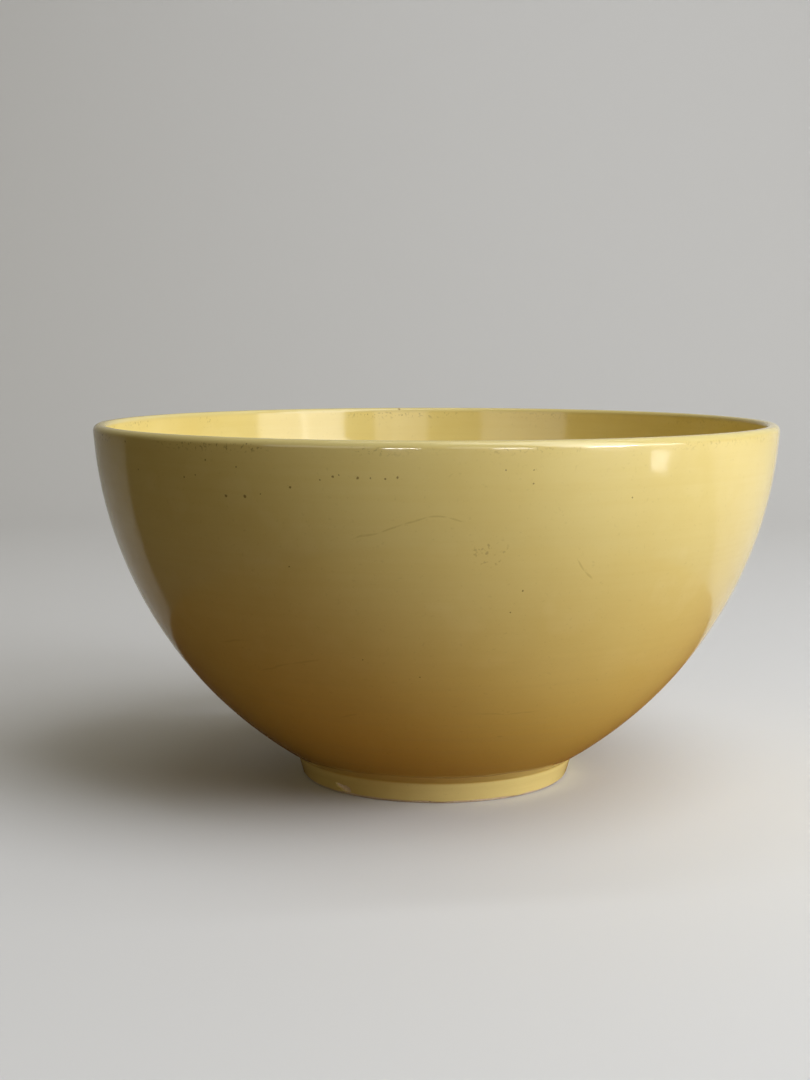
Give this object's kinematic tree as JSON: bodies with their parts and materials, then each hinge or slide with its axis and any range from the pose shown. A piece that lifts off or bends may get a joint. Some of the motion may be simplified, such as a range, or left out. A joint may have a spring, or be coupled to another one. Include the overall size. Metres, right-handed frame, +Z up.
{
  "type": "mixing bowl",
  "caption": "Round mixing bowl in glossy pale yellow glazed earthenware, with a deep rounded wall, a soft lip and a low foot ring with a hollow base.",
  "frame": {"origin": "on the bowl's axis, in the plane that the foot ring stands on", "axes": "+Z up along the bowl's axis of revolution, from the foot to the open rim; +X and +Y are level and alike"},
  "size_m": [0.28, 0.28, 0.1476],
  "materials": {
    "clay": "fired earthenware clay, pale pinkish buff, matt, bare only where the foot stands and in one small chip",
    "glaze": "glossy opaque pale yellow glaze with fine pinholes, hairlines and light scratches, a little paler where it thins on the lip"
  },
  "bodies": {
    "root": {"bowl_body": "clay", "foot_ring": "clay", "outside_glaze": "glaze", "inside_glaze": "glaze", "base_glaze": "glaze"}
  },
  "joints": []
}
